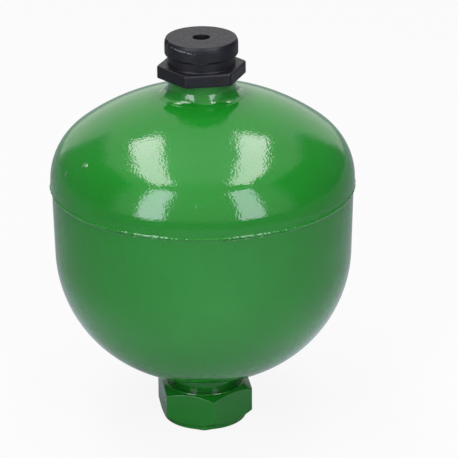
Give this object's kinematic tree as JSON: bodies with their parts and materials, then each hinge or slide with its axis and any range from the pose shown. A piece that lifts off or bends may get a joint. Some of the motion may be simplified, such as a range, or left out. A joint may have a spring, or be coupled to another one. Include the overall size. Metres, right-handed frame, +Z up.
{
  "type": "bladder accumulator",
  "caption": "Small welded hydropneumatic accumulator: two domed steel shells with a rubber separator, a capped gas boss on top and a hexagon fluid port below.",
  "frame": {"origin": "centre of the fluid port's bottom face", "axes": "+Z up the vessel's axis, from the fluid port to the gas boss; a corner of the port's hexagon on -Y"},
  "size_m": [0.1416, 0.1416, 0.188],
  "materials": {
    "green_paint": "glossy green enamel on steel",
    "black_plastic": "satin moulded plastic",
    "plated_steel": "zinc plated",
    "bare_steel": "turned, oiled",
    "nitrile_rubber": "moulded, matt",
    "seal_rubber": "moulded"
  },
  "bodies": {
    "vessel": {"fluid_shell": "green_paint", "gas_shell": "green_paint", "girth_weld": "green_paint", "fluid_port": "green_paint", "fluid_port_weld": "green_paint", "gas_boss": "green_paint", "gas_boss_weld": "green_paint", "charging_screw": "plated_steel", "charging_screw_seal": "seal_rubber", "clamp_ring": "bare_steel", "bladder": "nitrile_rubber"},
    "button": {"closing_button": "bare_steel", "button_washer": "bare_steel"},
    "cap": {"protective_cap": "black_plastic"}
  },
  "joints": [
    {"name": "button_lift", "type": "slide", "parent": "vessel", "child": "button", "axis": [0, 0, 1], "range_m": [0, 0.07], "deforming": ["bladder"]},
    {"name": "cap_lift", "type": "slide", "parent": "vessel", "child": "cap", "axis": [0, 0, 1], "range_m": [0, 0.012]}
  ]
}
